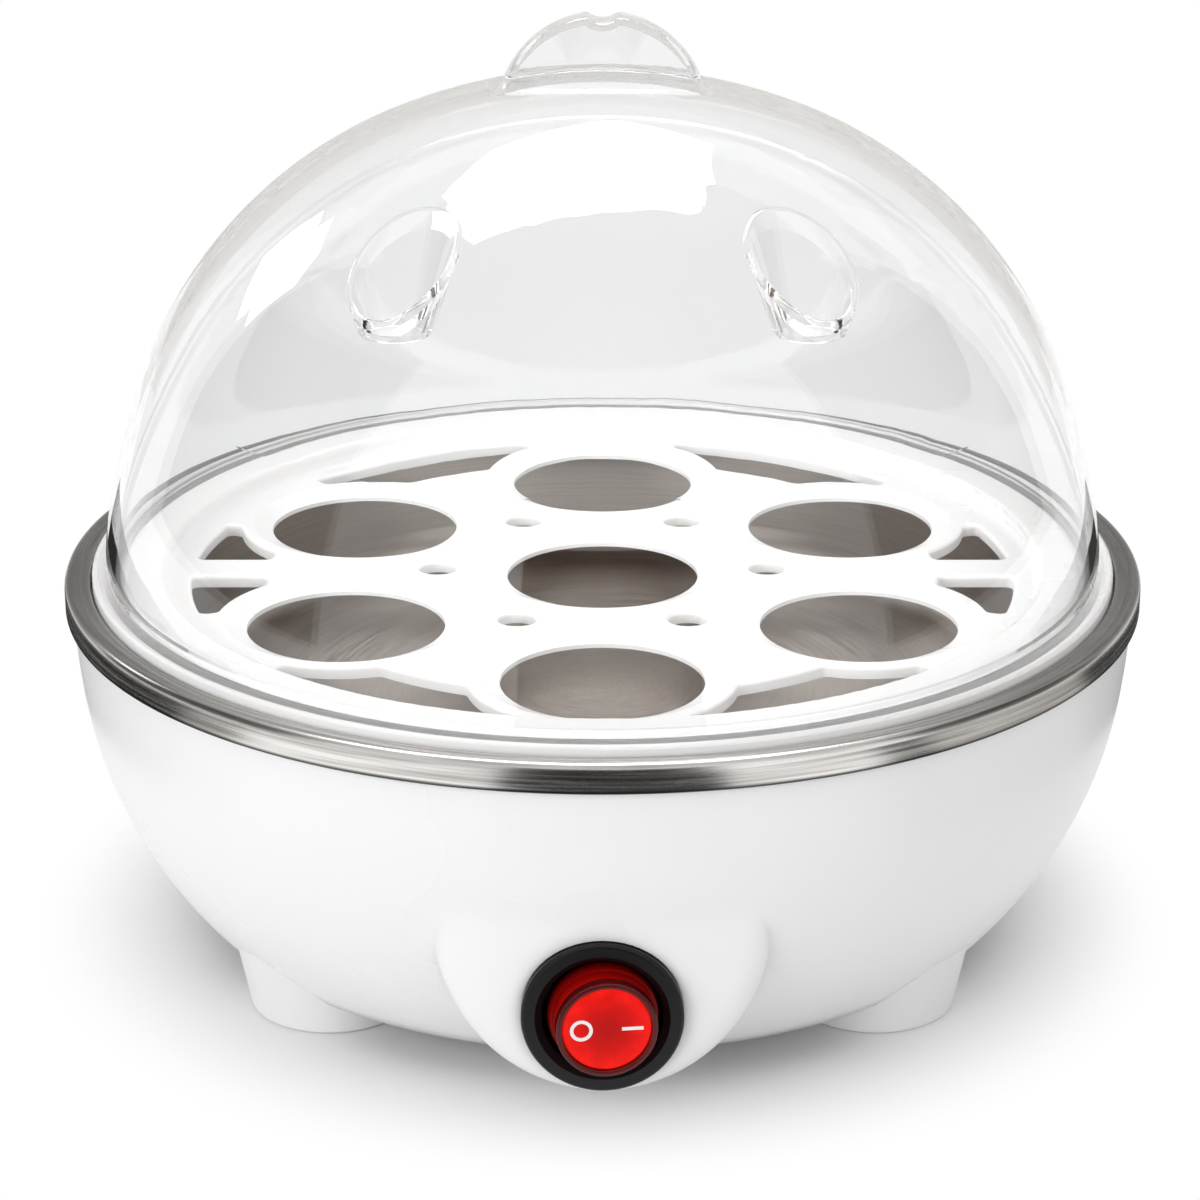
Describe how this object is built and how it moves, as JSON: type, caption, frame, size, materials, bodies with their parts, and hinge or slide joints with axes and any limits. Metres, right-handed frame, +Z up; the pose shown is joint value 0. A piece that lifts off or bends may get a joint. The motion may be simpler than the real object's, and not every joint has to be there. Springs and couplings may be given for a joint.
{
  "type": "egg cooker",
  "caption": "Round white egg cooker with a steel trim ring, perforated egg tray, clear domed lid with steam vents, and a red rocker switch.",
  "frame": {"origin": "on the floor under the middle of the round bowl", "axes": "+Z up; -Y towards the front with the rocker switch; +X to the right seen from the front"},
  "size_m": [0.172, 0.175, 0.1486],
  "materials": {
    "white_housing": "glossy",
    "white_cover": "satin",
    "trim_steel": "brushed",
    "pan_steel": "satin",
    "tray_plastic": "satin",
    "lid_clear": "clear glossy",
    "switch_black": "satin",
    "rocker_red": "translucent glossy",
    "mark_white": "printed",
    "lamp_glass": "clear",
    "terminal_brass": "bright",
    "gland_white": "satin",
    "screw_steel": "plated",
    "seal_silicone": "matte",
    "spreader_aluminium": "cast",
    "element_steel": "satin",
    "thermostat_black": "moulded",
    "sleeve_white": "woven sleeve",
    "lead_insulation": "matte"
  },
  "bodies": {
    "base": {"housing_shell": "white_housing", "bottom_cover": "white_cover", "foot_rear_right": "white_cover", "foot_rear_left": "white_cover", "foot_front_left": "white_cover", "foot_front_right": "white_cover", "trim_ring": "trim_steel", "heating_pan": "pan_steel", "switch_body": "switch_black", "switch_lamp": "lamp_glass", "switch_terminals": "terminal_brass", "thermostat_terminals": "terminal_brass", "heater_pins": "terminal_brass", "cord_gland": "gland_white", "gland_nut": "gland_white", "cover_screws": "screw_steel", "thermostat_screws": "screw_steel", "pan_studs": "screw_steel", "pan_nuts": "screw_steel", "heater_clamp": "screw_steel", "pan_seal": "seal_silicone", "heater_end_seals": "seal_silicone", "heater_spreader": "spreader_aluminium", "thermostat_flange": "spreader_aluminium", "heater_tube": "element_steel", "thermostat_body": "thermostat_black", "thermal_fuse": "sleeve_white", "lead_switch_to_thermostat": "lead_insulation", "lead_switch_to_heater": "lead_insulation", "lead_thermostat_to_fuse": "lead_insulation", "lead_fuse_to_heater": "lead_insulation"},
    "tray": {"egg_tray": "tray_plastic"},
    "lid": {"lid_dome": "lid_clear"},
    "rocker": {"switch_rocker": "rocker_red", "rocker_marks": "mark_white"}
  },
  "joints": [
    {"name": "tray_lift", "type": "slide", "parent": "base", "child": "tray", "axis": [0, 0, 1], "range_m": [0, 0.06]},
    {"name": "lid_lift", "type": "slide", "parent": "tray", "child": "lid", "axis": [0, 0, 1], "range_m": [0, 0.1]},
    {"name": "rocker_tilt", "type": "hinge", "parent": "base", "child": "rocker", "pos_m": [0, -0.0805, 0.02], "axis": [0, 0, -1], "range_deg": [0, 13]}
  ]
}
